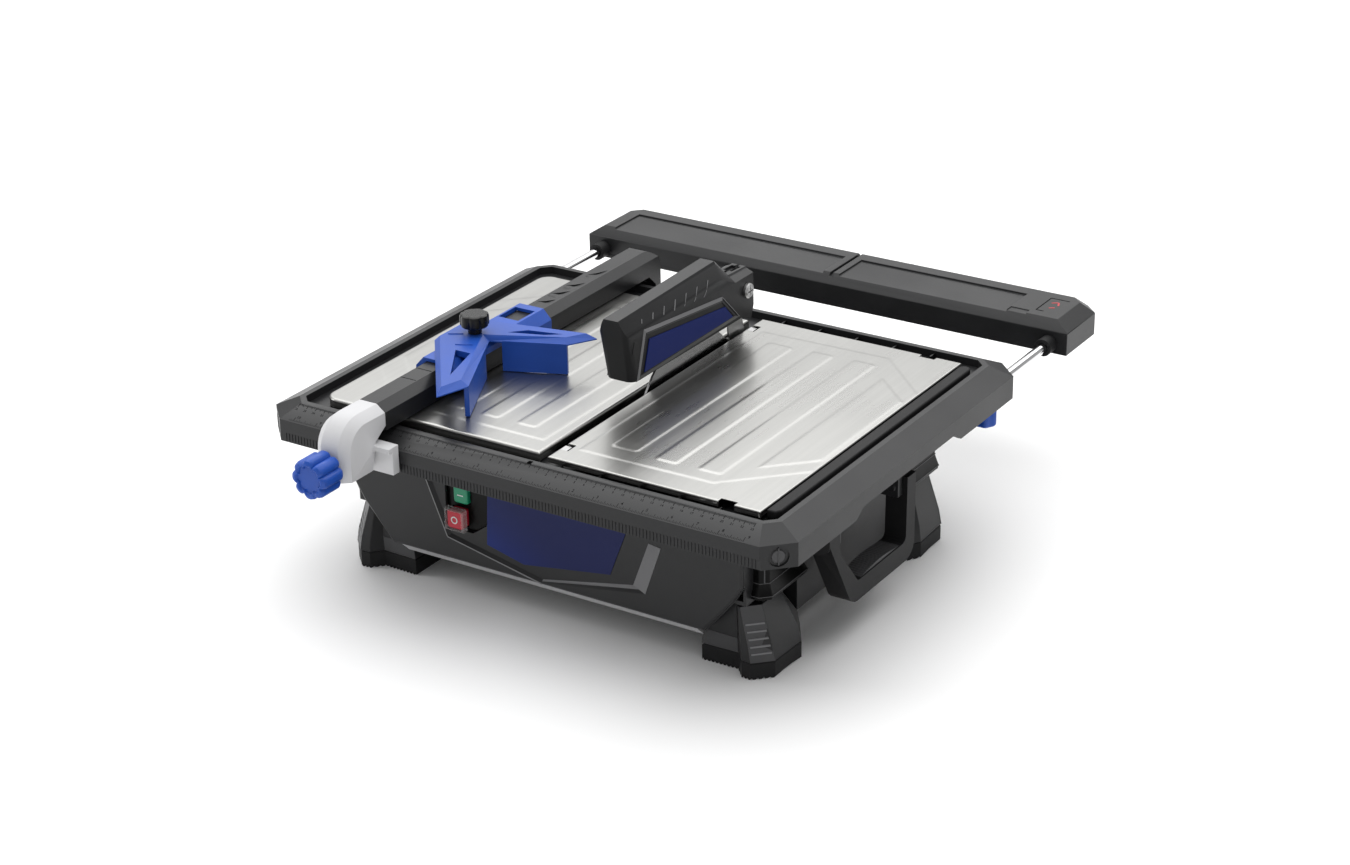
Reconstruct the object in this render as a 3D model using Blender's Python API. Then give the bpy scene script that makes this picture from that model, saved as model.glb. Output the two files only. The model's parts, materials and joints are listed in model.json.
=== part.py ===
"""Wet tile saw with a rip fence, a swivelling angle guide, a tilting table and a sliding extension.

Everything is drawn in millimetres on the saw's own axes: x runs across and is 0 in the middle of
the table, y runs back from the table's front face, and z is up from the bench. One empty carries
the whole saw and moves it so that the middle of its footprint is the world's origin.
"""

import math

import bmesh
import bpy
from mathutils import Matrix, Vector

MM = 0.001
GAP = 0.3  # between pieces that touch
STEP = 0.01  # the length of a turned profile's square shoulder

# Driving dimensions
KNOB_FRONT, BAR_BACK = -86.0, 625.0  # the saw's front and rear ends
TABLE_HALF_WIDTH, TABLE_DEPTH, CORNER = 281.0, 452.0, 24.0
RIM_BOTTOM, RIM_EDGE, RIDGE, LEDGE = 142.5, 165.0, 175.0, 167.5
RIDGE_INSET = 21.5
PLATE_TOP, SHEET = 177.5, 1.5
OPENING_HALF_WIDTH, OPENING_FRONT, OPENING_BACK = 205.0, 62.0, 378.0
BODY_HALF_WIDTH, BODY_FRONT, BODY_BACK, BODY_BOTTOM, WALL = 212.0, 50.0, 402.0, 29.0, 3.0
BODY_MIDDLE = (BODY_FRONT + BODY_BACK) / 2
BLADE_X, BLADE_Y, BLADE_Z, BLADE_RADIUS, BLADE_THICKNESS = 13.5, 275.0, 119.5, 90.0, 2.2
SHAFT_RADIUS = 8.0
GUARD_HALF_WIDTH = 16.0
GUARD_PIVOT = (358.6, 226.2)  # y, z
FENCE_LEFT, FENCE_RIGHT, FENCE_BOTTOM, FENCE_TOP, FENCE_BEVEL = -173.0, -136.0, 179.0, 203.5, 9.0
FENCE_SCREW = (-154.5, 161.5)  # x, z
GUIDE_PIVOT = (-152.0, 165.0)  # x, y
ROD_X, ROD_Z, ROD_RADIUS = 262.0, 152.5, 5.0
ROD_FRONT, ROD_BACK = 140.0, 608.0
LOCK_Y = 408.0
BAR_FRONT = 546.0
TILT_AXIS = (20.5, 173.5)  # x, z
HANDLE_AXIS = (251.0, 118.0)  # x, z
HOLE_CLEARANCE = 0.3

LOOKS = {
    "charcoal_plastic": ((0.035, 0.036, 0.038), 0.5, 0.0),
    "black_plastic": ((0.012, 0.012, 0.013), 0.35, 0.0),
    "blue_plastic": ((0.02, 0.06, 0.42), 0.35, 0.0),
    "white_plastic": ((0.8, 0.8, 0.8), 0.4, 0.0),
    "label_blue": ((0.015, 0.03, 0.16), 0.4, 0.0),
    "stainless": ((0.62, 0.61, 0.57), 0.28, 1.0),
    "chrome": ((0.75, 0.75, 0.76), 0.08, 1.0),
    "steel": ((0.45, 0.45, 0.46), 0.35, 1.0),
    "blade_steel": ((0.5, 0.5, 0.52), 0.25, 1.0),
    "motor_grey": ((0.16, 0.17, 0.18), 0.5, 0.6),
    "bronze": ((0.45, 0.3, 0.14), 0.35, 1.0),
    "rubber": ((0.02, 0.02, 0.02), 0.75, 0.0),
    "green_button": ((0.02, 0.32, 0.16), 0.35, 0.0),
    "red_button": ((0.5, 0.02, 0.04), 0.3, 0.0),
}


def clear_scene():
    for obj in list(bpy.data.objects):
        bpy.data.objects.remove(obj, do_unlink=True)


def look_up(name):
    """The named material, made the first time it is asked for."""
    found = bpy.data.materials.get(name)
    if found:
        return found
    color, roughness, metallic = LOOKS[name]
    made = bpy.data.materials.new(name)
    made.use_nodes = True
    made.diffuse_color = (*color, 1.0)
    shader = made.node_tree.nodes["Principled BSDF"]
    shader.inputs["Base Color"].default_value = (*color, 1.0)
    shader.inputs["Roughness"].default_value = roughness
    shader.inputs["Metallic"].default_value = metallic
    return made


# ---- shapes: each returns a bmesh in saw millimetres ----


def point_on(axis, along, a, b):
    """A point from its place along the axis and its two other coordinates in x, y, z order."""
    return {"X": (along, a, b), "Y": (a, along, b), "Z": (a, b, along)}[axis]


def stack(axis, sections):
    """Closed solid through outlines of equal length, each given as (place along the axis, outline)."""
    mesh = bmesh.new()
    rings = [
        [mesh.verts.new(point_on(axis, along, a, b)) for a, b in outline]
        for along, outline in sections
    ]
    for low, high in zip(rings, rings[1:]):
        for i in range(len(low)):
            j = (i + 1) % len(low)
            mesh.faces.new((low[i], low[j], high[j], high[i]))
    mesh.faces.new(list(reversed(rings[0])))
    mesh.faces.new(rings[-1])
    bmesh.ops.recalc_face_normals(mesh, faces=mesh.faces)
    return mesh


def prism(axis, outline, start, end):
    return stack(axis, [(start, outline), (end, outline)])


def slab(x0, x1, y0, y1, z0, z1):
    return prism("Z", [(x0, y0), (x1, y0), (x1, y1), (x0, y1)], z0, z1)


def circle(centre, radius, sides=24):
    steps = [2 * math.pi * (i + 0.5) / sides for i in range(sides)]
    return [(centre[0] + radius * math.cos(t), centre[1] + radius * math.sin(t)) for t in steps]


def lobed(centre, radius, depth, lobes, sides=48):
    """A circle whose radius falls by the depth between its lobes."""
    points = []
    for i in range(sides):
        t = 2 * math.pi * i / sides
        r = radius - depth * (0.5 - 0.5 * math.cos(lobes * t))
        points.append((centre[0] + r * math.cos(t), centre[1] + r * math.sin(t)))
    return points


def rod(axis, centre, radius, start, end, sides=24):
    return prism(axis, circle(centre, radius, sides), start, end)


def turned(axis, centre, profile, sides=24):
    """A solid of revolution from (place along the axis, radius) pairs."""
    return stack(axis, [(along, circle(centre, radius, sides)) for along, radius in profile])


def arc(centre, radius, start, end, steps):
    angles = [math.radians(start + (end - start) * i / steps) for i in range(steps + 1)]
    return [(centre[0] + radius * math.cos(t), centre[1] + radius * math.sin(t)) for t in angles]


def chamfered(x0, x1, y0, y1, cut):
    return [
        (x0 + cut, y0), (x1 - cut, y0), (x1, y0 + cut), (x1, y1 - cut),
        (x1 - cut, y1), (x0 + cut, y1), (x0, y1 - cut), (x0, y0 + cut),
    ]


def mirrored(outline, middle=0.0):
    """The outline turned over across the line at the middle of its first coordinate."""
    return [(2 * middle - a, b) for a, b in outline]


# ---- objects ----


def place(name, mesh, pivot):
    """An object with its origin on the pivot, under the saw's empty."""
    move = Matrix.Scale(MM, 4) @ Matrix.Translation(-Vector(pivot))
    bmesh.ops.transform(mesh, matrix=move, verts=mesh.verts)
    data = bpy.data.meshes.new(name)
    mesh.to_mesh(data)
    mesh.free()
    obj = bpy.data.objects.new(name, data)
    obj.parent = bpy.data.objects["tile_saw"]
    obj.location = Vector(pivot) * MM
    bpy.context.collection.objects.link(obj)
    return obj


def piece(name, look, base, add=(), cut=(), pivot=(0, 0, 0), common=(), hollow=()):
    """A named sub-part: a base kept inside `common`, emptied by `hollow`, joined with `add`, then cut."""
    obj = place(name, base, pivot)
    obj.data.materials.append(look_up(look))
    obj.data.shade_smooth()
    obj.data.set_sharp_from_angle(angle=math.radians(30))
    steps = (
        ("common", "INTERSECT", common),
        ("hollow", "DIFFERENCE", hollow),
        ("add", "UNION", add),
        ("cut", "DIFFERENCE", cut),
    )
    for step, operation, shapes in steps:
        for number, shape in enumerate(shapes):
            helper = place(f"{name}_{step}_{number}", shape, pivot)
            helper.hide_render = True
            helper.display_type = "WIRE"
            modifier = obj.modifiers.new(f"{step} {number}", "BOOLEAN")
            modifier.operation = operation
            modifier.solver = "EXACT"
            modifier.object = helper


def ring(name, look, axis, centre, outer, inner, start, end, sides=24, pivot=(0, 0, 0)):
    piece(name, look, rod(axis, centre, outer, start, end, sides),
          cut=[rod(axis, centre, inner, start - 1, end + 1, max(sides, 24))], pivot=pivot)


# ---- base: rim, tub, feet ----


def rim_frame():
    """The moulded frame round the tables: a vertical outer face, a sloping ruler face and a sunk ledge."""
    outer = chamfered(-TABLE_HALF_WIDTH, TABLE_HALF_WIDTH, 0, TABLE_DEPTH, CORNER)
    ridge_x = TABLE_HALF_WIDTH - RIDGE_INSET
    ridge = chamfered(-ridge_x, ridge_x, RIDGE_INSET, TABLE_DEPTH - RIDGE_INSET, CORNER / 2)
    well = chamfered(-ridge_x + 5.5, ridge_x - 5.5, RIDGE_INSET + 5.5, TABLE_DEPTH - RIDGE_INSET - 5.5, 9)
    rib_front, rib_back, block_front = 300, 320, 392
    pocket_top, below = RIDGE - 13.5, RIM_BOTTOM - 10
    cuts = [
        prism("Z", well, LEDGE, RIDGE + 5),
        slab(-OPENING_HALF_WIDTH, OPENING_HALF_WIDTH, OPENING_FRONT, OPENING_BACK, below, RIDGE + 5),
        slab(-20, 16.5, OPENING_BACK - 5, 392, below, RIDGE + 5),
        slab(-200, 200, 5, 46, below, pocket_top),
        slab(-200, 200, 406, 447, below, pocket_top),
    ]
    grip = [(123, below), (123, 142), (137, 151), (310, 151), (322, 142), (322, below)]
    for side in (-1, 1):
        inner, outside = sorted((side * 214, side * 276))
        cuts += [
            slab(inner, outside, 24, rib_front, below, pocket_top),
            slab(inner, outside, rib_back, block_front, below, pocket_top),
            prism("X", grip, *sorted((side * 213.5, side * 290))),
            rod("Y", (side * ROD_X, ROD_Z), 8.0, rib_front - 1, rib_back + 1),
            rod("Y", (side * ROD_X, ROD_Z), ROD_RADIUS + HOLE_CLEARANCE, block_front - 1, 416),
            rod("Y", (side * ROD_X, ROD_Z), 8.0, 415.5, 436.5),
            rod("Y", (side * ROD_X, ROD_Z), 9.6, 436, TABLE_DEPTH + 1),
            rod("Z", (side * ROD_X, LOCK_Y), 3.4, below, ROD_Z - 2, 16),
        ]
    piece("rim_frame", "charcoal_plastic",
          stack("Z", [(RIM_BOTTOM, outer), (RIM_EDGE, outer), (RIDGE, ridge)]), cut=cuts)


def corner_of(outline, right, front):
    """An outline drawn for the front right corner, moved to another corner."""
    return [(x if right else -x, y if front else 2 * BODY_MIDDLE - y) for x, y in outline]


SWITCH_RECESS = [(-108, 124), (-108, 76), (-104, 71), (-78, 71), (-60, 84), (-60, 124)]


def body_tub():
    """The moulded body under the rim: a water tub with pods for the feet and a trough under the blade."""
    top = RIM_BOTTOM - GAP
    slope_top, slope = 39.5, 11
    side = [
        (BODY_FRONT, top), (BODY_FRONT, slope_top), (BODY_FRONT + slope, BODY_BOTTOM),
        (BODY_BACK - slope, BODY_BOTTOM), (BODY_BACK, slope_top), (BODY_BACK, top),
    ]
    width, depth = BODY_HALF_WIDTH - WALL, BODY_BACK - WALL
    floor = BODY_BOTTOM + WALL
    lower = [
        (-146, 64), (146, 64), (146, 145), (width, 145), (width, 307), (146, 307),
        (146, 388), (-146, 388), (-146, 307), (-width, 307), (-width, 145), (-146, 145),
    ]
    skin_edge = [(163, 20), (163, 28), (172, 39), (203, 76), (212.5, 92), (240, 92), (240, 20)]
    foot_bay = [(152, 20), (152, 42), (184, 72), (240, 72), (240, 20)]
    joined = [slab(-16, 46, 160, 392, 12, floor + 1)]
    cuts = [
        prism("Z", lower, floor, 80),
        slab(-width, width, BODY_FRONT + WALL, depth, 76, RIM_BOTTOM + 5),
        slab(-13, 43, 163, 389, 15, floor + 5),
        prism("Y", SWITCH_RECESS, 40, 66),
        rod("Y", (-150, 90), 6.5, BODY_BACK - 10, BODY_BACK + 5),
    ]
    for right in (False, True):
        skin, bay = (skin_edge, foot_bay) if right else (mirrored(skin_edge), mirrored(foot_bay))
        cuts += [
            prism("Y", skin, 40, 53.3), prism("Y", bay, 53, 141),
            prism("Y", skin, 398.7, 412), prism("Y", bay, 311, 399),
        ]
        for front in (True, False):
            post = corner_of([(190, 66), (218, 66), (224, 72), (224, 128), (190, 128)], right, front)
            joined.append(prism("Z", post, 76, top))
    piece("body_tub", "charcoal_plastic", prism("X", side, -BODY_HALF_WIDTH, BODY_HALF_WIDTH),
          add=joined, cut=cuts)


def foot(name, right, front):
    """A splayed foot: an upright band, then faces that lean in to a small top under the corner post."""
    base = [
        (159, 64.5), (196, 65.5), (206, 54.5), (215.5, 53.8),
        (231.5, 69.5), (233, 113), (217, 138), (159, 138),
    ]
    knee = [
        (161, 65), (196, 64.5), (204, 55), (213, 54.2),
        (228.5, 69.5), (230, 111), (215, 136), (161, 136),
    ]
    top = [
        (191, 66), (195, 66), (199, 59), (203, 57),
        (217, 71), (217, 104), (207, 112), (191, 112),
    ]
    sections = [(0, base), (17, base), (32, knee), (68, top)]
    piece(name, "rubber", stack("Z", [(z, corner_of(outline, right, front)) for z, outline in sections]))


def feet():
    for front in (True, False):
        for right in (True, False):
            name = f"foot_{'front' if front else 'rear'}_{'right' if right else 'left'}"
            foot(name, right, front)


def front_label():
    outline = [(-59, 124), (-62.4, 64), (-21.5, 54), (72.8, 68.5), (94.5, 124)]
    piece("front_label", "label_blue", prism("Y", outline, BODY_FRONT - GAP - 0.6, BODY_FRONT - GAP))


def cable_gland():
    centre = (-150, 90)
    collar = BODY_BACK + GAP
    profile = [(393, 6.1), (collar, 6.1), (collar + STEP, 11), (408, 11), (409, 9), (420, 7)]
    piece("cable_gland", "black_plastic", turned("Y", centre, profile),
          cut=[rod("Y", centre, 4, 380, 430)])


# ---- switch ----

BUTTONS = {"start_button": (-99, -83, 50, 98, 115), "stop_button": (-103, -86, 44, 74, 92)}
BUTTON_BACK, SWITCH_FRONT = 59.0, 54.0


def switch():
    """A housing clipped into the recess, with a square well behind each button for its travel."""
    housing = [(-107.5, 123.5), (-107.5, 76.2), (-103.7, 71.5), (-78.2, 71.5), (-60.5, 84.3), (-60.5, 123.5)]
    wells = [
        slab(x0 - 0.5, x1 + 0.5, 40, BUTTON_BACK + 4, z0 - 0.5, z1 + 0.5)
        for x0, x1, _, z0, z1 in BUTTONS.values()
    ]
    piece("switch_housing", "black_plastic", prism("Y", housing, SWITCH_FRONT, 98), cut=wells)
    for name, (x0, x1, front, z0, z1) in BUTTONS.items():
        look = "green_button" if name == "start_button" else "red_button"
        rim = chamfered(x0, x1, z0, z1, 1.5)
        face = chamfered(x0 + 1, x1 - 1, z0 + 1, z1 - 1, 1.5)
        piece(name, look, stack("Y", [(front, face), (front + 1, rim), (BUTTON_BACK, rim)]),
              pivot=((x0 + x1) / 2, front, (z0 + z1) / 2))


# ---- tables ----


def folded_sheet(outline, inner, bottom):
    """A sheet-metal top with folded edges: the outline's prism, and the inner one to take out below."""
    return prism("Z", outline, bottom, PLATE_TOP), prism("Z", inner, bottom - 5, PLATE_TOP - SHEET)


def rounded_left(x0, x1, y0, y1, radius):
    """A rectangle whose two left corners are round."""
    return (
        [(x1, y0), (x1, y1)]
        + arc((x0 + radius, y1 - radius), radius, 90, 180, 5)
        + arc((x0 + radius, y0 + radius), radius, 180, 270, 5)
    )


def left_plate():
    x0, x1, y0, y1 = -236, 8, 39, 398
    radius = 14
    outer, inner = folded_sheet(
        rounded_left(x0, x1, y0, y1, radius),
        rounded_left(x0 + SHEET, x1 - SHEET, y0 + SHEET, y1 - SHEET, radius - SHEET), LEDGE + 0.5)
    piece("left_plate", "stainless", outer, cut=[inner])


def rectangle(x0, x1, y0, y1):
    return [(x0, y0), (x1, y0), (x1, y1), (x0, y1)]


def inwards(end, sign, near, far):
    """The two places at these distances in from an end of the table, the lower one first."""
    return sorted((end + near * sign, end + far * sign))


def right_table():
    """The tilting right table: its sheet, its side rail, and two hinges on the edge beside the blade."""
    x0, x1, y0, y1 = 19, 237, 36, 406
    low = PLATE_TOP - 5.5
    middle = (y0 + y1) / 2
    pivot = (TILT_AXIS[0], middle, TILT_AXIS[1])
    outer, inner = folded_sheet(
        rectangle(x0, x1, y0, y1), rectangle(x0 + SHEET, x1 - SHEET, y0 + SHEET, y1 - SHEET), low)
    ears, cuts, hollow = [], [], [inner]
    below, above = low - 5, PLATE_TOP + 5
    for end, sign in ((y0, 1), (y1, -1)):
        cuts.append(slab(x0 - 1, x0 + 9, *inwards(end, sign, 18, 32), below, above))
        cuts.append(slab(x1 - 42, x1 - 26, *inwards(end, sign, -1, 6), below, above))
        cuts.append(rod("Y", TILT_AXIS, 1.9, *inwards(end, sign, 9, 41), 16))
        hollow.append(slab(x0 - 1, x0 + 2, *inwards(end, sign, 8, 42), below, PLATE_TOP - SHEET))
        for near in (11, 33):
            ear = inwards(end, sign, near, near + 6)
            ears.append(slab(x0 + 0.4, x0 + 6, *ear, TILT_AXIS[1] - 2.5, PLATE_TOP - 1))
    piece("right_plate", "stainless", outer, hollow=hollow, add=ears, cut=cuts, pivot=pivot)
    rail = [(238, 44), (247, 44), (250, 50), (250, 396)] + arc((244, 398), 6, 0, 180, 6)
    piece("table_side_rail", "black_plastic", prism("Z", rail, LEDGE + 0.5, PLATE_TOP - 1), pivot=pivot)
    for name, end, sign in (("front", y0, 1), ("rear", y1, -1)):
        block = slab(17.5, 24.5, *inwards(end, sign, 19.5, 30.5), LEDGE + GAP, TILT_AXIS[1] + 2.1)
        pin = rod("Y", TILT_AXIS, 1.5, *inwards(end, sign, 12, 38), 12)
        piece(f"tilt_hinge_{name}", "steel", block, add=[pin])


# ---- motor and blade ----


def motor():
    """A motor lying left of the blade, with its shaft through the bracket to the blade's flanges."""
    axis = (BLADE_Y, BLADE_Z)
    pivot = (BLADE_X, BLADE_Y, BLADE_Z)
    piece("motor_can", "motor_grey", rod("X", axis, 46, -132, -25, 32),
          cut=[rod("X", axis, 42, -125, -20, 32), rod("X", axis, 13, -140, -120)])
    ring("motor_end_bell", "motor_grey", "X", axis, 46, 13, -24.7, -18.5, 32)
    ring("shaft_bearing_front", "steel", "X", axis, 12.7, SHAFT_RADIUS + HOLE_CLEARANCE, -24, -19)
    ring("shaft_bearing_rear", "steel", "X", axis, 12.7, SHAFT_RADIUS + HOLE_CLEARANCE, -131, -126)
    ring("motor_rotor", "steel", "X", axis, 38, SHAFT_RADIUS + HOLE_CLEARANCE, -108, -44, pivot=pivot)
    ring("motor_fan", "black_plastic", "X", axis, 36, SHAFT_RADIUS + HOLE_CLEARANCE, -38, -30, pivot=pivot)
    foot_level = BODY_BOTTOM + WALL + GAP
    wall = [(215, foot_level), (345, foot_level), (345, 166), (215, 166)]
    sole = slab(-70, -16.6, 215, 345, foot_level, foot_level + 2)
    piece("motor_bracket", "steel", prism("X", wall, -18.2, -16.5), add=[sole],
          cut=[rod("X", axis, 13, -30, -10)])


def blade_set():
    axis = (BLADE_Y, BLADE_Z)
    pivot = (BLADE_X, BLADE_Y, BLADE_Z)
    left, right = BLADE_X - BLADE_THICKNESS / 2, BLADE_X + BLADE_THICKNESS / 2
    ring("blade", "blade_steel", "X", axis, BLADE_RADIUS, 11.1, left, right, 72, pivot=pivot)
    piece("arbor_shaft", "steel", rod("X", axis, SHAFT_RADIUS, -134, 30), pivot=pivot)
    bore = rod("X", axis, SHAFT_RADIUS + HOLE_CLEARANCE, -10, 30)
    face = left - GAP
    flange = [(2, 12), (5, 12), (7, 22), (face, 22), (face + STEP, 10.8), (right - GAP, 10.8)]
    piece("inner_flange", "steel", turned("X", axis, flange), cut=[bore], pivot=pivot)
    hole = SHAFT_RADIUS + HOLE_CLEARANCE
    ring("outer_flange", "steel", "X", axis, 22, hole, right + GAP, right + 4, pivot=pivot)
    ring("arbor_nut", "steel", "X", axis, 13, hole, right + 4.3, right + 11, 6, pivot=pivot)


def blade_well():
    """The removable tray that the blade dips in, notched for the shaft, in the body's trough."""
    tray = slab(-11.5, 41.5, 164.5, 387.5, 15.5, 140)
    piece("water_tray", "black_plastic", tray,
          cut=[slab(-9.5, 39.5, 166.5, 385.5, 17.5, 150), slab(-20, 0, 262, 288, BLADE_Z, 150),
               rod("X", (BLADE_Y, BLADE_Z), 13, -20, 0)])


def knife_and_guard():
    """The riving knife behind the blade, the arm that holds it, and the guard that lifts on its bolt."""
    y, z = GUARD_PIVOT
    inner_edge = arc((BLADE_Y, BLADE_Z), BLADE_RADIUS + 5, 20, 38, 4)
    outer_edge = [(372, 200), (380, 170), (387, 152)]
    knife = inner_edge + [(347.5, 200)] + arc(GUARD_PIVOT, 11.3, 180, 0, 8) + outer_edge
    piece("riving_knife", "steel", prism("X", knife, BLADE_X - 0.9, BLADE_X + 0.9),
          cut=[rod("X", GUARD_PIVOT, 4.3, 0, 30)])
    piece("knife_arm", "steel", slab(-16.2, BLADE_X - 1.2, 366, 384, 152.5, 165),
          add=[slab(-16.2, -13, 318, 380, 150, 165)])
    outline = [
        (159.6, 202.9), (148.2, 265.9), (313.5, 269.5), (338.4, 246.9),
        (370.9, 245.3), (373.9, 207.4), (368.9, 194.5), (349, 200.9),
    ]
    left, right = BLADE_X - GUARD_HALF_WIDTH, BLADE_X + GUARD_HALF_WIDTH
    section = [
        (left, 180), (right, 180), (right, 250), (right - 8, 270), (left + 8, 270), (left, 250),
    ]
    room = [(164, 190), (154.3, 249), (329.8, 249), (336, 243.5), (340, 243), (340, 190)]
    high_room = [(164, 190), (152, 262), (311, 265.5), (336, 243.5), (340, 243), (340, 190)]
    slot = [(334, 180), (334, 240.5), (385, 240.5), (385, 180)]
    panel = [(166.8, 203.5), (184, 248.1), (317.8, 232.9), (347, 203.5)]
    proud, wall = 1.3, 2.5
    piece("blade_guard", "charcoal_plastic", prism("X", outline, left, right),
          common=[prism("Y", section, 140, 385)],
          add=[prism("X", panel, left - proud, left + 1), prism("X", panel, right - 1, right + proud)],
          cut=[prism("X", room, left + wall, right - wall),
               prism("X", high_room, BLADE_X - 7, BLADE_X + 7),
               prism("X", slot, BLADE_X - 1.6, BLADE_X + 1.6),
               rod("X", GUARD_PIVOT, 4.3, left - 5, right + 5)],
          pivot=(BLADE_X, y, z))
    piece("guard_bolt", "steel", rod("X", GUARD_PIVOT, 4, left - 8, right + GAP + 0.2),
          add=[turned("X", GUARD_PIVOT, [(right + GAP, 7.5), (right + 3, 7.5), (right + 4.5, 6)])])
    ring("guard_nut", "steel", "X", GUARD_PIVOT, 7, 4.3, left - 6.5, left - GAP, 6)


# ---- rip fence and angle guide ----


def fence_section(grow=0.0):
    left, right = FENCE_LEFT - grow, FENCE_RIGHT + grow
    low, high, shoulder = FENCE_BOTTOM - grow, FENCE_TOP + grow, FENCE_TOP - 7
    return [
        (left, low), (right, low), (right, shoulder),
        (right - FENCE_BEVEL, high), (left + FENCE_BEVEL, high), (left, shoulder),
    ]


def rip_fence():
    """The beam across the tables with its rear hook, and the white clamp head at its front."""
    x, z = FENCE_SCREW
    hook = [
        (436, FENCE_BOTTOM), (436, FENCE_TOP), (449, FENCE_TOP), (459, 199), (462.5, 190),
        (462.5, 148), (453, 148), (453, 168), (441, FENCE_BOTTOM),
    ]
    piece("fence_beam", "charcoal_plastic", prism("Y", fence_section(), 5 + GAP, 438),
          add=[prism("X", hook, FENCE_LEFT, FENCE_RIGHT)], cut=[prism("Y", fence_section(-2.5), 0, 437)])
    piece("fence_tie_rod", "steel", rod("Y", (x, 191), 3, 5 + GAP, 436 - GAP, 12))

    def side(inset):
        return (
            [(-54 + inset, 148), (-17, 148), (-10.4, 174), (5, 184), (5, FENCE_TOP - inset)]
            + arc((-24, 174), 30 - inset, 90, 180, 8)
        )

    sections = [
        (FENCE_LEFT, side(7)), (FENCE_LEFT + FENCE_BEVEL, side(0)),
        (FENCE_RIGHT - FENCE_BEVEL, side(0)), (FENCE_RIGHT, side(7)),
    ]
    piece("fence_clamp", "white_plastic", stack("X", sections),
          add=[slab(x - 36, x + 36, -10, -1, 144.5, 171.6), slab(x + 14, x + 36, -15, -1, 167, 171.6),
               slab(x - 11, x + 11, -24, -9, 150, 171)],
          cut=[rod("Y", FENCE_SCREW, 4.5, -60, -12), rod("Y", FENCE_SCREW, 7, -13, 5)])
    pivot = (x, 0, z)
    piece("clamp_screw", "steel", rod("Y", FENCE_SCREW, 4.2, -56.2, -10, 16), pivot=pivot)
    piece("fence_knob", "blue_plastic", stack("Y", [
        (-86, lobed(FENCE_SCREW, 14, 1.5, 8)), (-83, lobed(FENCE_SCREW, 18.5, 2.2, 8)),
        (-62, lobed(FENCE_SCREW, 19.5, 2.2, 8)), (-56.5, lobed(FENCE_SCREW, 15, 1, 8))]), pivot=pivot)
    piece("clamp_pad", "rubber", rod("Y", FENCE_SCREW, 6.6, -9.7, -0.4), pivot=pivot)


HEAD_POINTS = {"a": (-181, 140), "b": (-100, 34.5), "c": (-89, 68.4), "apex": (-135.5, 164.6),
               "e": (-66.8, 193), "tip": (-51, 220), "back": (-157, 200)}


def angle_guide():
    """The saddle that slides along the beam, and the V-shaped head that swivels on it."""
    x, y = GUIDE_PIVOT
    top = 207.3
    left, right, low, shoulder = -177, -131, 181, 197.5
    section = [
        (left, low), (right, low), (right, shoulder),
        (right - FENCE_BEVEL, top), (left + FENCE_BEVEL, top), (left, shoulder),
    ]
    window = slab(-166, -143, 222, 250, low, top + 5)
    waist = slab(FENCE_RIGHT + 0.4, right + 1, 125, 215, low - 5, top - 3)
    piece("guide_saddle", "blue_plastic", prism("Y", section, 105, 260),
          cut=[prism("Y", fence_section(0.5), 100, 265), window, waist], pivot=(x, y, top))
    piece("guide_stud", "steel", rod("Z", GUIDE_PIVOT, 4, top + GAP, 226, 16), pivot=(x, y, top))

    p = HEAD_POINTS
    full = [p["a"], p["b"], p["c"], p["apex"], p["e"], p["tip"], p["back"], (-181, 180)]
    inset = [
        (-176, 142), (-103, 46), (-97, 68), (-143, 165),
        (-72, 198), (-60, 216), (-157, 196), (-176, 178),
    ]
    walls = [
        [(-126.8, 146.6), p["c"], (-93, 66.4), (-130.9, 144.6)],
        [(-124.4, 169.2), p["e"], (-68.5, 197.2), (-126.1, 173.3)],
    ]
    windows = [[(-143, 122), (-112, 72), (-126, 122)], [(-126, 181), (-92, 193), (-78, 203), (-112, 195)]]
    plate = stack("Z", [(top + 0.5, full), (top + 1.5, full), (top + 6.5, inset)])
    piece("guide_head", "blue_plastic", plate,
          add=[prism("Z", wall, FENCE_BOTTOM, top + 2) for wall in walls],
          cut=[prism("Z", window, top - 5, top + 12) for window in windows]
          + [rod("Z", GUIDE_PIVOT, 4.4, 200, 220, 16)],
          pivot=(x, y, top))
    base = top + 6.8
    piece("guide_knob", "black_plastic", stack("Z", [
        (base, circle(GUIDE_PIVOT, 7, 48)), (base + 7, circle(GUIDE_PIVOT, 7, 48)),
        (base + 8, lobed(GUIDE_PIVOT, 13, 1.2, 10)), (base + 17, lobed(GUIDE_PIVOT, 14, 1.6, 10)),
        (base + 19.5, lobed(GUIDE_PIVOT, 12, 1, 10))]),
        cut=[rod("Z", GUIDE_PIVOT, 4.4, 200, 227, 16)], pivot=(x, y, base))


# ---- rear extension ----


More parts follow.
